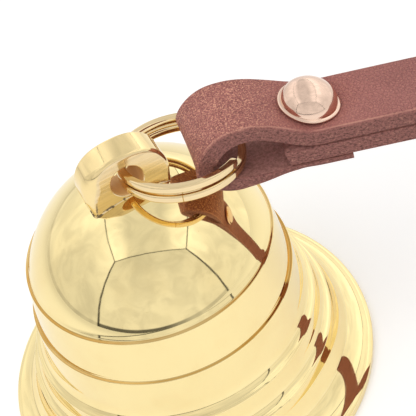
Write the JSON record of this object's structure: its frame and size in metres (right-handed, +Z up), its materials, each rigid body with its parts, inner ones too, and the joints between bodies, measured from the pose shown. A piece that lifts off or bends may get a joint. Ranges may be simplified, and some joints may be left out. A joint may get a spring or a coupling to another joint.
{
  "type": "strap bell",
  "caption": "Tiered brass bell with a swinging clapper, hung from a crown lug by a split ring and a riveted leather strap that folds round the ring and ends in a hanging eye.",
  "frame": {"origin": "on the bell's turning axis, in the plane of its mouth", "axes": "+Z up the bell's axis from the mouth to the crown, +X the way the strap runs from the ring, +Y to the strap's left seen from the bell"},
  "size_m": [0.1665, 0.0794, 0.071],
  "materials": {
    "bell_brass": "polished yellow brass",
    "ring_gilt": "polished gilt wire",
    "strap_leather": "reddish-brown grained leather with raw cut edges",
    "rivet_rose": "polished pale rose-gold plate"
  },
  "bodies": {
    "bell": {"bell_body": "bell_brass", "crown_lug": "bell_brass", "clapper_eye_screw": "bell_brass", "eye_jam_nut": "bell_brass"},
    "link": {"clapper_link": "bell_brass"},
    "clapper": {"clapper_rod": "bell_brass", "ball_jam_nut": "bell_brass", "clapper_ball": "bell_brass"},
    "ring": {"split_ring": "ring_gilt"},
    "strap": {"leather_strap": "strap_leather", "rivet_cap": "rivet_rose", "rivet_base": "rivet_rose"}
  },
  "joints": [
    {"name": "link_swing", "type": "hinge", "parent": "bell", "child": "link", "pos_m": [0, 0, 0.03712], "axis": [1, 0, 0], "range_deg": [-15, 15]},
    {"name": "clapper_swing", "type": "hinge", "parent": "link", "child": "clapper", "pos_m": [0, 0, 0.03132], "axis": [0, 1, 0], "range_deg": [-55, 55]},
    {"name": "ring_swing", "type": "hinge", "parent": "bell", "child": "ring", "pos_m": [0, 0, 0.06105], "axis": [0.1699, -0.9731, 0.1557], "range_deg": [0, 150]},
    {"name": "strap_swing", "type": "hinge", "parent": "ring", "child": "strap", "pos_m": [0.02317, 0.00166, 0.05906], "axis": [0, -1, 0], "range_deg": [-8, 45]}
  ]
}
